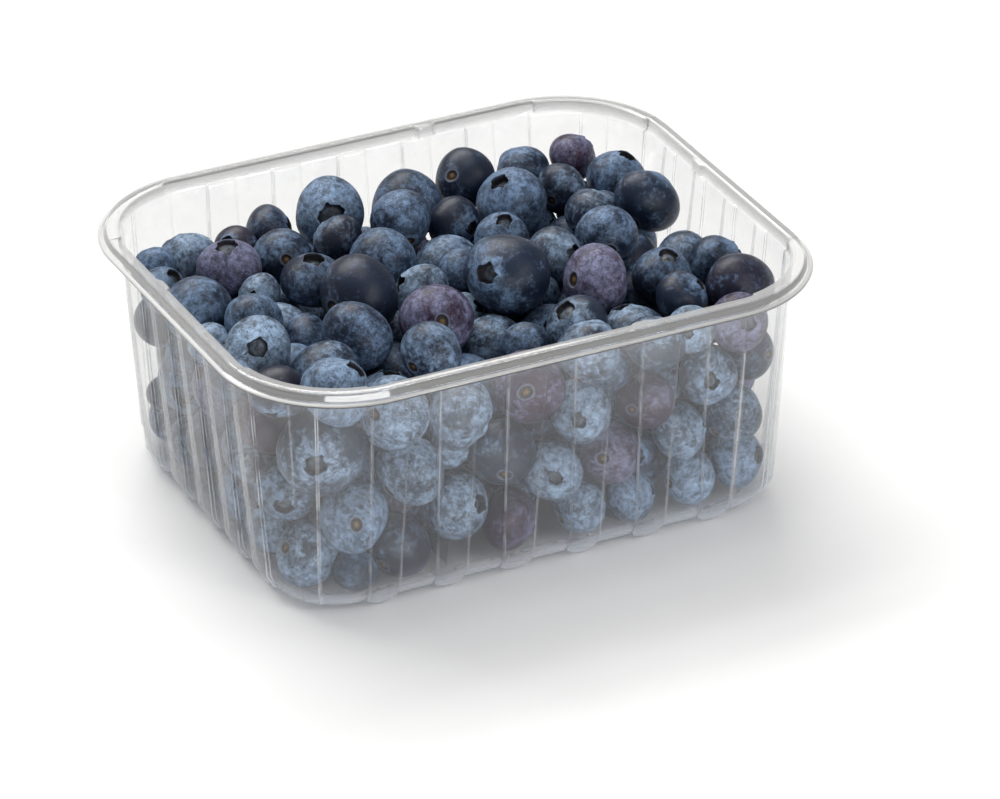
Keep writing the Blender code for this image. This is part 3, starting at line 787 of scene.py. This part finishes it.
@dataclass
class PouredBerries:
    """Lets loose berries settle in the tray round those on show, as the solid model does."""

    seed: int = 12
    length: float = 145.0 * MM
    width: float = 119.0 * MM
    radius: float = 7.8 * MM
    radius_spread: float = 0.9 * MM
    radius_limits: tuple[float, float] = (6.2 * MM, 9.6 * MM)
    clear: float = 1.0 * MM
    floor_top: float = 2.5 * MM
    fill_level: float = 47.0 * MM
    crease_level: float = 5.0 * MM
    wall_top_level: float = 57.0 * MM
    insets: tuple[float, float] = (10.1 * MM, 5.1 * MM)
    corners: tuple[float, float] = (16.0 * MM, 23.9 * MM)
    layers: int = 5
    layer_columns: int = 7
    layer_rows: int = 6
    layer_pitch: float = 16.6 * MM
    layer_rise: float = 0.86
    layer_nudge: float = 1.8 * MM
    settle_steps: int = 400
    pushes_per_step: int = 2
    rest_steps: int = 160
    strike_off_steps: tuple[int, ...] = (150, 250, 350, 399)
    settle_fall: float = 0.25 * MM
    shown_pull: float = 0.3
    shown_loose: float = 0.02
    shown_loose_at_rest: float = 0.1
    top_up_level: float = 48.0 * MM
    top_up_spacing: float = 2.5 * MM
    top_up_squeeze: float = 1.6 * MM
    base_level: float = 1.5 * MM

    # The smallest berries, which sit in the gaps that the others leave
    small_radius: float = 4.7 * MM
    small_squeeze: float = 1.3 * MM
    small_levels: tuple[float, float] = (7.5 * MM, 48.0 * MM)
    small_wall_gap: float = 7.5 * MM

    def wall_outline(self, level: np.ndarray) -> tuple[np.ndarray, np.ndarray, np.ndarray]:
        """Half length, half width and corner radius of the wall's outside at each level."""
        share = (level - self.crease_level) / (self.wall_top_level - self.crease_level)
        inset = self.insets[0] + (self.insets[1] - self.insets[0]) * share
        corner = self.corners[0] + (self.corners[1] - self.corners[0]) * share
        return self.length / 2 - inset, self.width / 2 - inset, corner

    def wall_distance(self, centres: np.ndarray) -> tuple[np.ndarray, np.ndarray]:
        """Signed distance from the room's outline at each centre, and the way out there.

        It is the distance beyond the outline's straight core, less the corner's radius.
        """
        half_length, half_width, corner = self.wall_outline(centres[:, 2])
        half_length, half_width = half_length - self.clear, half_width - self.clear
        corner = corner - self.clear
        core = np.stack([half_length - corner, half_width - corner], axis=-1)
        beyond = np.abs(centres[:, :2]) - core
        outside = np.maximum(beyond, 0.0)
        length = np.linalg.norm(outside, axis=1)
        distance = length + np.minimum(beyond.max(axis=1), 0.0) - corner
        nearest = (beyond == beyond.max(axis=1, keepdims=True)).astype(float)
        round_part = outside / np.maximum(length, 1e-9)[:, None]
        way = np.where(length[:, None] > 0.0, round_part, nearest)
        return distance, way * np.sign(centres[:, :2])

    def keep_inside(self, centres: np.ndarray, radii: np.ndarray) -> None:
        """Pushes berries off the tray's wall and floor."""
        distance, way = self.wall_distance(centres)
        push = np.maximum(distance + radii, 0.0)
        centres[:, :2] -= push[:, None] * way
        centres[:, 2] = np.maximum(centres[:, 2], self.floor_top + radii)

    def push_apart(self, centres: np.ndarray, radii: np.ndarray, loose: np.ndarray) -> None:
        """Moves every two berries that overlap apart by half their overlap each."""
        offset = centres[:, None, :] - centres[None, :, :]
        gap = np.linalg.norm(offset, axis=2) + np.eye(len(radii))
        overlap = np.maximum(radii[:, None] + radii[None, :] - gap, 0.0)
        np.fill_diagonal(overlap, 0.0)
        share = loose[:, None] / np.maximum(loose[:, None] + loose[None, :], 1.0)
        move = (offset / gap[..., None]) * (overlap * share)[..., None]
        centres += move.sum(axis=1) * 0.5

    def layered_start(self, rng: np.random.Generator) -> np.ndarray:
        """Rough starting places: staggered layers over the whole floor, each nudged."""
        columns = np.arange(self.layer_columns) - (self.layer_columns - 1) / 2
        rows = np.arange(self.layer_rows) - (self.layer_rows - 1) / 2
        layer, row, column = np.meshgrid(np.arange(self.layers), rows, columns, indexing="ij")
        stagger = (layer % 2) * 0.5 - 0.25
        places = np.stack([column + stagger, row + stagger, layer * self.layer_rise + 0.6], -1)
        places = places.reshape(-1, 3) * self.layer_pitch
        return places + rng.normal(0.0, self.layer_nudge, places.shape)

    def push_all(self, centres: np.ndarray, radii: np.ndarray, loose: np.ndarray,
                 steps: int) -> None:
        """Takes the berries' overlaps apart, a little at a time."""
        for _ in range(steps):
            self.push_apart(centres, radii, loose)
            self.keep_inside(centres, radii)

    def room_around(self, places: np.ndarray, centres: np.ndarray,
                    radii: np.ndarray) -> np.ndarray:
        """Distance from each place to the nearest berry, wall or floor."""
        offset = places[:, None, :] - centres[None, :, :]
        to_berries = (np.sqrt((offset ** 2).sum(axis=2)) - radii[None, :]).min(axis=1)
        at_wall = places * 1.0
        at_wall[:, 2] = np.maximum(places[:, 2], self.crease_level)
        distance, _ = self.wall_distance(at_wall)
        return np.minimum(np.minimum(to_berries, -distance), places[:, 2] - self.floor_top)

    def top_up(self, centres: np.ndarray, radii: np.ndarray) -> tuple[np.ndarray, np.ndarray]:
        """Fills the gaps left up to a level: a berry goes where there is most room for one."""
        spans = (np.arange(-self.length / 2, self.length / 2, self.top_up_spacing),
                 np.arange(-self.width / 2, self.width / 2, self.top_up_spacing),
                 np.arange(self.base_level, self.top_up_level, self.top_up_spacing))
        places = np.stack([part.ravel() for part in np.meshgrid(*spans)], axis=-1)
        room = self.room_around(places, centres, radii)
        while room.max() + self.top_up_squeeze > self.radius_limits[0]:
            widest = room.argmax()
            radius = min(room[widest] + self.top_up_squeeze, self.radius)
            centres = np.append(centres, places[widest:widest + 1], axis=0)
            radii = np.append(radii, radius)
            apart = np.linalg.norm(places - places[widest], axis=1)
            room = np.minimum(room, apart - radius)
        return centres, radii

    def fill_gaps(self, centres: np.ndarray, radii: np.ndarray) -> tuple[np.ndarray, np.ndarray]:
        """Adds the smallest berries where there is still a gap wide enough for one."""
        half_length = self.length / 2 - self.small_wall_gap - self.insets[1]
        half_width = self.width / 2 - self.small_wall_gap - self.insets[1]
        spans = (np.arange(-half_length, half_length, self.top_up_spacing / 2),
                 np.arange(-half_width, half_width, self.top_up_spacing / 2),
                 np.arange(*self.small_levels, self.top_up_spacing / 2))
        places = np.stack([part.ravel() for part in np.meshgrid(*spans)], axis=-1)
        to_wall = -self.wall_distance(places)[0]
        room = self.room_around(places, centres, radii)
        room = np.minimum(room, to_wall - self.small_squeeze)
        while room.max() + self.small_squeeze > self.small_radius:
            widest = room.argmax()
            radius = room[widest] + self.small_squeeze
            centres = np.append(centres, places[widest:widest + 1], axis=0)
            radii = np.append(radii, radius)
            apart = np.linalg.norm(places - places[widest], axis=1)
            room = np.minimum(room, apart - radius)
        return centres, radii

    def settle(self) -> tuple[np.ndarray, np.ndarray, int]:
        """Pours the berries.

        Returns:
            Their middles and radii, those on show first, and how many are on show.
        """
        rng = np.random.default_rng(self.seed)
        shown = np.array([(along, across, height, diameter / 2)
                          for across, height, row in SHOWN_ROWS
                          for along, diameter, *_ in row]) * MM
        count = len(shown)
        start = self.layered_start(rng)
        drawn = rng.normal(self.radius, self.radius_spread, len(start))
        radii = np.concatenate([shown[:, 3], np.clip(drawn, *self.radius_limits)])
        centres = np.concatenate([shown[:, :3], start])
        loose = np.concatenate([np.full(count, self.shown_loose), np.ones(len(start))])
        for step in range(self.settle_steps):
            centres[:, 2] -= self.settle_fall * (loose == 1.0)
            centres[:count] += self.shown_pull * (shown[:, :3] - centres[:count])
            self.push_all(centres, radii, loose, self.pushes_per_step)
            if step in self.strike_off_steps:
                kept = centres[:, 2] < self.fill_level
                kept[:count] = True
                centres, radii, loose = centres[kept], radii[kept], loose[kept]
        at_rest = np.maximum(loose, self.shown_loose_at_rest)
        self.push_all(centres, radii, at_rest, self.rest_steps)
        centres, radii = self.top_up(centres, radii)
        loose = np.ones(len(radii))
        loose[:count] = self.shown_loose_at_rest
        self.push_all(centres, radii, loose, self.rest_steps)
        centres, radii = self.fill_gaps(centres, radii)
        return centres, radii, count


@dataclass
class BerryShape:
    """One berry's form: an oblate body with a crown at one pole and a stem scar at the other."""

    columns: int = 48
    body_rows: int = 11
    dents: int = 3

    # Crown, from its middle outwards: distance from the axis in crown radii, what the star of
    # its opening adds to it, height above the body in berry radii, what a flap between two of
    # the star's points adds to that, and how much it is disc, painted shade in the hollow and pale
    # collar
    crown: tuple[tuple[float, ...], ...] = (
        (0.12, 0.00, -0.120, 0.000, 1.0, 0.3, 0.0),
        (0.30, 0.00, -0.140, 0.000, 1.0, 0.0, 0.0),
        (0.50, 0.00, -0.140, 0.000, 1.0, 0.0, 0.0),
        (0.60, 0.05, -0.160, 0.000, 0.8, 0.6, 0.0),
        (0.68, 0.28, -0.140, 0.000, 0.2, 1.0, 0.0),
        (0.69, 0.37, -0.060, 0.010, 0.0, 1.0, 0.0),
        (0.70, 0.39, 0.000, 0.025, 0.0, 0.8, 0.0),
        (0.73, 0.41, 0.024, 0.048, 0.0, 0.1, 0.7),
        (0.81, 0.39, 0.026, 0.040, 0.0, 0.0, 1.0),
        (0.98, 0.28, 0.018, 0.016, 0.0, 0.0, 1.0),
        (1.24, 0.12, 0.008, 0.000, 0.0, 0.0, 0.8),
        (1.65, 0.00, 0.000, 0.000, 0.0, 0.0, 0.5),
    )
    # Stem scar, from its rim inwards: distance from the axis and height, in berry radii, and
    # how far into the scar it lies
    scar: tuple[tuple[float, float, float], ...] = (
        (0.255, 0.000, 0.10), (0.215, 0.014, 0.40), (0.190, 0.008, 0.50),
        (0.170, -0.035, 0.80), (0.085, -0.050, 0.82), (0.065, -0.040, 1.00),
    )

    def build(self, rng: np.random.Generator, centres: np.ndarray, radii: np.ndarray,
              axes: np.ndarray) -> dict[str, np.ndarray]:
        """Makes all berries at once.

        A point of a berry has a distance from its axis and a height along it. The height is
        that of an oblate body, plus the crown's or the scar's own, and slow waves round and
        along the axis make each berry a little uneven. The crown's opening is a star of
        five points, cos(5 angle), made ragged by longer and shorter waves.

        Args:
            rng: Source of the differences between berries.
            centres: Their middles.
            radii: Their largest radii.
            axes: The way each crown points, as unit vectors.

        Returns:
            Arrays for each berry: points, place on the skin, marks and ring, all as
            (berry, vertex, value).
        """
        count = len(radii)
        angle = np.linspace(0.0, 2 * math.pi, self.columns, endpoint=False)[None, None, :]

        def draw(low: float, high: float) -> np.ndarray:
            return rng.uniform(low, high, (count, 1, 1))

        flatness = draw(0.80, 0.95)
        crown_size = draw(0.28, 0.43)
        openness = draw(0.35, 1.0)
        depth = draw(0.7, 1.4)
        phase = draw(0.0, 2 * math.pi)
        star = 0.38 + 0.27 * np.cos(5 * (angle - phase))
        for waves, height in ((1, 0.24), (2, 0.20), (3, 0.18), (4, 0.14), (8, 0.13), (13, 0.09)):
            star = star + height * np.cos(waves * angle - draw(0, 6.3))
        star = np.clip(star, -0.1, 1.05) * openness
        table = np.array(self.crown)[None, :, :, None]
        away = (table[:, :, 0] + table[:, :, 1] * star) * crown_size
        lift = np.minimum(table[:, :, 2], 0.0) * depth + np.maximum(table[:, :, 2], 0.0)
        lift = lift + table[:, :, 3] * (1.0 - star)
        start = np.arcsin(np.minimum(self.crown[-1][0] * crown_size, 0.95))
        end = math.pi - math.asin(self.scar[0][0])
        share = np.linspace(0.0, 1.0, self.body_rows + 2)[1:-1][None, :, None]
        polar = start + (end - start) * share
        body_away = np.sin(polar) + 0 * angle
        scar = np.array(self.scar)[None, :, :, None]
        scar_away = scar[:, :, 0] * (1.0 + 0.1 * np.cos(2 * angle - draw(0, 6.3)))
        scar_lift = scar[:, :, 1] + 0 * scar_away

        rho = np.concatenate([away, body_away, scar_away], axis=1)
        extra = np.concatenate([lift, 0 * body_away, -scar_lift], axis=1)
        up = np.concatenate([np.ones_like(away), np.sign(np.cos(polar)) + 0 * body_away,
                             -np.ones_like(scar_away)], axis=1)
        rise = up * flatness * np.sqrt(np.maximum(1.0 - rho ** 2, 0.0)) + extra
        squash = 1.0 + draw(0.0, 0.035) * np.cos(2 * angle - draw(0, 6.3))
        squash = squash + draw(0.0, 0.028) * np.cos(3 * angle - draw(0, 6.3)) * rho
        squash = squash + draw(-0.03, 0.03) * rise
        x = rho * np.cos(angle) * squash
        y = rho * np.sin(angle) * squash
        z = rise + draw(0.0, 0.03) * np.cos(2 * angle - draw(0, 6.3)) * rho ** 2
        local = np.stack([x, y, z], axis=-1).reshape(count, -1, 3)
        top = np.stack([0 * phase, 0 * phase, flatness - 0.105 * depth], -1)
        foot = np.stack([0 * phase, 0 * phase, -flatness + 0.038], -1)
        local = np.concatenate([local, top.reshape(count, 1, 3), foot.reshape(count, 1, 3)], 1)
        local = self.dented(rng, local)

        rows = rho.shape[1]
        by_row = np.zeros((rows, 4))
        by_row[:len(self.crown), [0, 1, 3]] = np.array(self.crown)[:, 4:7]
        by_row[len(self.crown):len(self.crown) + 2, 3] = (0.3, 0.12)
        by_row[-len(self.scar):, 2] = np.array(self.scar)[:, 2]
        by_vertex = np.repeat(by_row, self.columns, axis=0)
        # The crown's pole is disc with a little painted shade; the stem's pole is scar.
        by_vertex = np.concatenate([by_vertex, [[1.0, 0.4, 0.0, 0.0], [0.0, 0.0, 1.0, 0.0]]])
        marks = np.broadcast_to(by_vertex[None, :, :3], (count, len(by_vertex), 3))
        ring = np.broadcast_to(by_vertex[None, :, 3], (count, len(by_vertex)))

        turned = self.turn(rng, local, axes)
        points = centres[:, None, :] + turned * radii[:, None, None]
        shift = rng.uniform(-40.0, 40.0, (count, 1, 3))
        size = (radii / (7.8 * MM))[:, None, None]
        return {"points": points, "place": local * size + shift, "marks": marks, "ring": ring}

    def dented(self, rng: np.random.Generator, local: np.ndarray) -> np.ndarray:
        """Flattens each berry a little on a few sides, as berries pressed together are.

        A point comes in by a small share that is eased from nothing, where its direction lies
        about 55 degrees off the dent's, to the whole in the dent's middle.
        """
        away = local / np.maximum(np.linalg.norm(local, axis=-1, keepdims=True), 1e-9)
        for _ in range(self.dents):
            middle = rng.normal(size=(len(local), 1, 3))
            middle /= np.linalg.norm(middle, axis=-1, keepdims=True)
            near = smooth(((away * middle).sum(axis=-1, keepdims=True) - 0.57) / 0.43)
            local = local * (1.0 - rng.uniform(0.0, 0.08, (len(local), 1, 1)) * near)
        return local

    def turn(self, rng: np.random.Generator, local: np.ndarray, axes: np.ndarray) -> np.ndarray:
        """Turns each berry so that its crown points along its axis, spun at random."""
        helper = np.where(np.abs(axes[:, 2:]) < 0.9, [[0.0, 0.0, 1.0]], [[1.0, 0.0, 0.0]])
        side = np.cross(helper, axes)
        side /= np.linalg.norm(side, axis=1, keepdims=True)
        other = np.cross(axes, side)
        spin = rng.uniform(0.0, 2 * math.pi, (len(axes), 1))
        first = side * np.cos(spin) + other * np.sin(spin)
        second = np.cross(axes, first)
        frame_of = np.stack([first, second, axes], axis=1)
        return local @ frame_of

    def faces(self) -> tuple[np.ndarray, np.ndarray]:
        """Faces of one berry: its grid, and the fans that close its two poles."""
        rows = len(self.crown) + self.body_rows + len(self.scar)
        quads = grid_quads(rows, self.columns)[:, ::-1]
        ring = np.arange(self.columns)
        top = rows * self.columns
        crown_fan = np.stack([ring, np.roll(ring, -1), np.full(self.columns, top)], axis=1)
        last = ring + (rows - 1) * self.columns
        scar_fan = np.stack([np.roll(last, -1), last, np.full(self.columns, top + 1)], axis=1)
        return quads, np.concatenate([crown_fan, scar_fan])


@dataclass
class BerryHeap:
    """The loose berries over a smaller core, in one piece for each kind of skin."""

    poured: PouredBerries = field(default_factory=PouredBerries)
    shape: BerryShape = field(default_factory=BerryShape)
    seed: int = 5
    core_depth: float = 19.0 * MM
    core_level: float = 25.0 * MM
    core_half_height: float = 10.0 * MM
    hidden_half_height: float = 5.0 * MM
    hidden_depth: float = 26.0 * MM
    usual_share: tuple[float, ...] = (0.16, 0.31, 0.24, 0.16, 0.13)

    def facing(self, rng: np.random.Generator, count: int) -> tuple[np.ndarray, np.ndarray]:
        """Which way each crown points, and each berry's kind.

        Args:
            rng: Source of the loose berries' directions.
            count: Berries in all.

        Returns:
            Unit vectors, and numbers of kinds.
        """
        kinds = list(Ripeness)
        shown = [berry for _, _, row in SHOWN_ROWS for berry in row]
        turn = np.radians([berry[3] for berry in shown])
        lift = np.radians([berry[4] for berry in shown])
        axes = np.stack([np.sin(turn) * np.cos(lift), -np.cos(turn) * np.cos(lift),
                         np.sin(lift)], axis=1)
        loose = rng.normal(size=(count - len(shown), 3))
        loose /= np.linalg.norm(loose, axis=1, keepdims=True)
        kind = np.array([kinds.index(berry[2]) for berry in shown])
        others = rng.choice(len(kinds), count - len(shown), p=self.usual_share)
        return np.concatenate([axes, loose]), np.concatenate([kind, others])

    def build(self) -> list[bpy.types.Object]:
        """Makes one joined piece per kind of skin, leaving out berries inside the core."""
        centres, radii, shown = self.poured.settle()
        rng = np.random.default_rng(self.seed)
        axes, kind = self.facing(rng, len(radii))
        made = self.shape.build(rng, centres, radii, axes)
        tone = np.stack([rng.normal(0.0, 0.22, len(radii)),
                         np.clip(rng.normal(-0.1, 0.25, len(radii)), 0.0, 1.0),
                         rng.uniform(0.0, 1.0, len(radii))], axis=1)
        distance, _ = self.poured.wall_distance(centres)
        depth = np.minimum(-distance, centres[:, 2] - self.poured.floor_top)
        level = np.abs(centres[:, 2] - self.core_level)
        hidden = (depth > self.hidden_depth) & (level < self.hidden_half_height)
        hidden[:shown] = False
        group = bloom_group()
        quads, fans = self.shape.faces()
        pieces = []
        for number, ripeness in enumerate(Ripeness):
            own = np.flatnonzero((kind == number) & ~hidden)
            each = made["points"].shape[1]
            first = (np.arange(len(own)) * each)[:, None, None]
            item = mesh_object(
                ripeness.value, made["points"][own].reshape(-1, 3),
                (quads[None] + first).reshape(-1, 4), (fans[None] + first).reshape(-1, 3))
            add_attribute(item, "skin_place", made["place"][own].reshape(-1, 3))
            add_attribute(item, "marks", made["marks"][own].reshape(-1, 3))
            add_attribute(item, "ring", made["ring"][own].ravel())
            add_attribute(item, "tone", np.repeat(tone[own], each, axis=0))
            item.data.materials.append(SKINS[ripeness].material(group))
            LOG.info("%s: %d berries, %d faces", item.name, len(own), len(item.data.polygons))
            pieces.append(item)
        return pieces

    def core(self) -> bpy.types.Object:
        """The dark core: rings of a rounded rectangle that close in above and below.

        A ring's size follows the cosine and its level the sine of an angle that runs from
        straight down to straight up.
        """
        half_length, half_width, corner = self.poured.wall_outline(np.array(self.core_level))
        half_length = half_length - self.core_depth
        half_width = half_width - self.core_depth
        around = np.linspace(0.0, 2 * math.pi, 48, endpoint=False)[None]
        upright = np.linspace(-math.pi / 2, math.pi / 2, 15)[1:-1, None]
        square = (np.abs(np.cos(around)) ** 4 + np.abs(np.sin(around)) ** 4) ** -0.25
        reach = square * np.cos(upright) ** 0.5
        x = half_length * reach * np.cos(around)
        y = half_width * reach * np.sin(around)
        z = self.core_level + self.core_half_height * np.sin(upright) + 0 * around
        points = np.stack([x, y, z], axis=-1).reshape(-1, 3)
        low, high = self.core_level - self.core_half_height, self.core_level + self.core_half_height
        points = np.concatenate([points, [[0, 0, low], [0, 0, high]]])
        rows, count = upright.shape[0], around.shape[1]
        ring = np.arange(count)
        last = ring + (rows - 1) * count
        under = np.stack([np.roll(ring, -1), ring, np.full(count, rows * count)], axis=1)
        over = np.stack([last, np.roll(last, -1), np.full(count, rows * count + 1)], axis=1)
        item = mesh_object("berries_core", points, grid_quads(rows, count),
                           np.concatenate([under, over]))
        size = len(points)
        add_attribute(item, "skin_place", points / (7.8 * MM))
        add_attribute(item, "marks", np.zeros((size, 3)))
        add_attribute(item, "ring", np.zeros(size))
        add_attribute(item, "tone", np.zeros((size, 3)))
        item.data.materials.append(bpy.data.materials[SKINS[Ripeness.RUBBED].name])
        return item


SKINS = {
    Ripeness.PALE: BerrySkin("skin_pale", (0.016, 0.027, 0.050), (0.228, 0.320, 0.450), 0.12),
    Ripeness.FROSTED: BerrySkin("skin_frosted", (0.010, 0.017, 0.034), (0.175, 0.256, 0.380), 0.05),
    Ripeness.DUSKY: BerrySkin("skin_dusky", (0.010, 0.018, 0.038), (0.135, 0.208, 0.330), 0.05),
    Ripeness.RUBBED: BerrySkin("skin_rubbed", (0.010, 0.017, 0.036), (0.120, 0.188, 0.300), 0.03),
    Ripeness.PURPLE: BerrySkin("skin_purple", (0.026, 0.010, 0.028), (0.165, 0.172, 0.280), 0.06,
                               blush_share=0.6),
}


# --------------------------------------------------------------------------- the studio


@dataclass
class Studio:
    """Table, lights, surroundings and camera."""

    floor_half: float = 4.0
    camera_place: tuple[float, float, float] = (-0.5844, -1.1984, 0.7512)
    camera_aim: tuple[float, float, float] = (0.0072, -0.0090, 0.0211)
    camera_roll: float = -0.14
    lens: float = 237.7
    surroundings: float = 0.285

    def build(self) -> None:
        """Sets everything up round the tray."""
        self.floor()
        self.world()
        self.lamp("key", (-0.10, 1.05, 1.20), (1.7, 0.5), 24.0, (1.0, 0.99, 0.97))
        self.lamp("overhead", (0.0, 0.1, 1.7), (0.8, 0.8), 7.5, (1.0, 1.0, 1.0))
        self.lamp("side", (0.45, -1.05, 0.95), (0.3, 0.3), 3.2, (1.0, 0.97, 0.94))
        self.lamp("front", (-0.25, -1.50, 0.22), (1.6, 0.24), 19.0, (0.97, 0.98, 1.0))
        self.camera()
        scene = bpy.context.scene
        scene.view_settings.view_transform = "Standard"
        scene.cycles.transparent_max_bounces = 40
        scene.cycles.max_bounces = 10

    def floor(self) -> None:
        """The wide matt table."""
        half = self.floor_half
        corners = np.array([[-half, -half, 0], [half, -half, 0], [half, half, 0], [-half, half, 0]])
        item = mesh_object("studio_floor", corners, np.array([[0, 1, 2, 3]]))
        item.data.materials.append(PaleFloor().material())

    def world(self) -> None:
        """An even white room."""
        world = bpy.data.worlds.new("room")
        world.use_nodes = True
        background = world.node_tree.nodes["Background"]
        background.inputs["Color"].default_value = (1.0, 1.0, 1.0, 1.0)
        background.inputs["Strength"].default_value = self.surroundings
        bpy.context.scene.world = world

    def lamp(self, name: str, place: tuple[float, float, float], size: tuple[float, float],
             power: float, colour: tuple[float, float, float]) -> None:
        """One soft lamp that faces the tray.

        Args:
            name: Name of the lamp.
            place: Where it hangs.
            size: Its width and height.
            power: Its power.
            colour: Its colour.
        """
        data = bpy.data.lights.new(name, "AREA")
        data.shape = "RECTANGLE"
        data.size, data.size_y = size
        data.energy = power
        data.color = colour
        item = bpy.data.objects.new(name, data)
        item.location = place
        item.rotation_euler = (-Vector(place)).to_track_quat("-Z", "Y").to_euler()
        bpy.context.collection.objects.link(item)

    def camera(self) -> None:
        """The camera, level but for a slight roll."""
        data = bpy.data.cameras.new("camera")
        data.lens = self.lens
        data.sensor_width = 36.0
        data.clip_end = 20.0
        item = bpy.data.objects.new("camera", data)
        place, aim = Vector(self.camera_place), Vector(self.camera_aim)
        look = (aim - place).to_track_quat("-Z", "Y").to_matrix()
        roll = Matrix.Rotation(math.radians(self.camera_roll), 3, "Z")
        item.matrix_world = Matrix.Translation(place) @ (look @ roll).to_4x4()
        bpy.context.collection.objects.link(item)
        bpy.context.scene.camera = item


def main() -> None:
    """Builds the tray, the berries and the studio."""
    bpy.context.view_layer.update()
    tray = ClearTray().build()
    tray.data.materials.append(ClearFilm().material())
    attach(tray, "root")
    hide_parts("tray")
    LOG.info("tray: %d faces before its thickness", len(tray.data.polygons))

    heap = BerryHeap()
    berries = heap.build()
    core = heap.core()
    for piece in (*berries, core):
        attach(piece, "root")
        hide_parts("berries")
    LOG.info("berries: %d pieces and a core", len(berries))

    Studio().build()


if __name__ == "__main__":
    main()
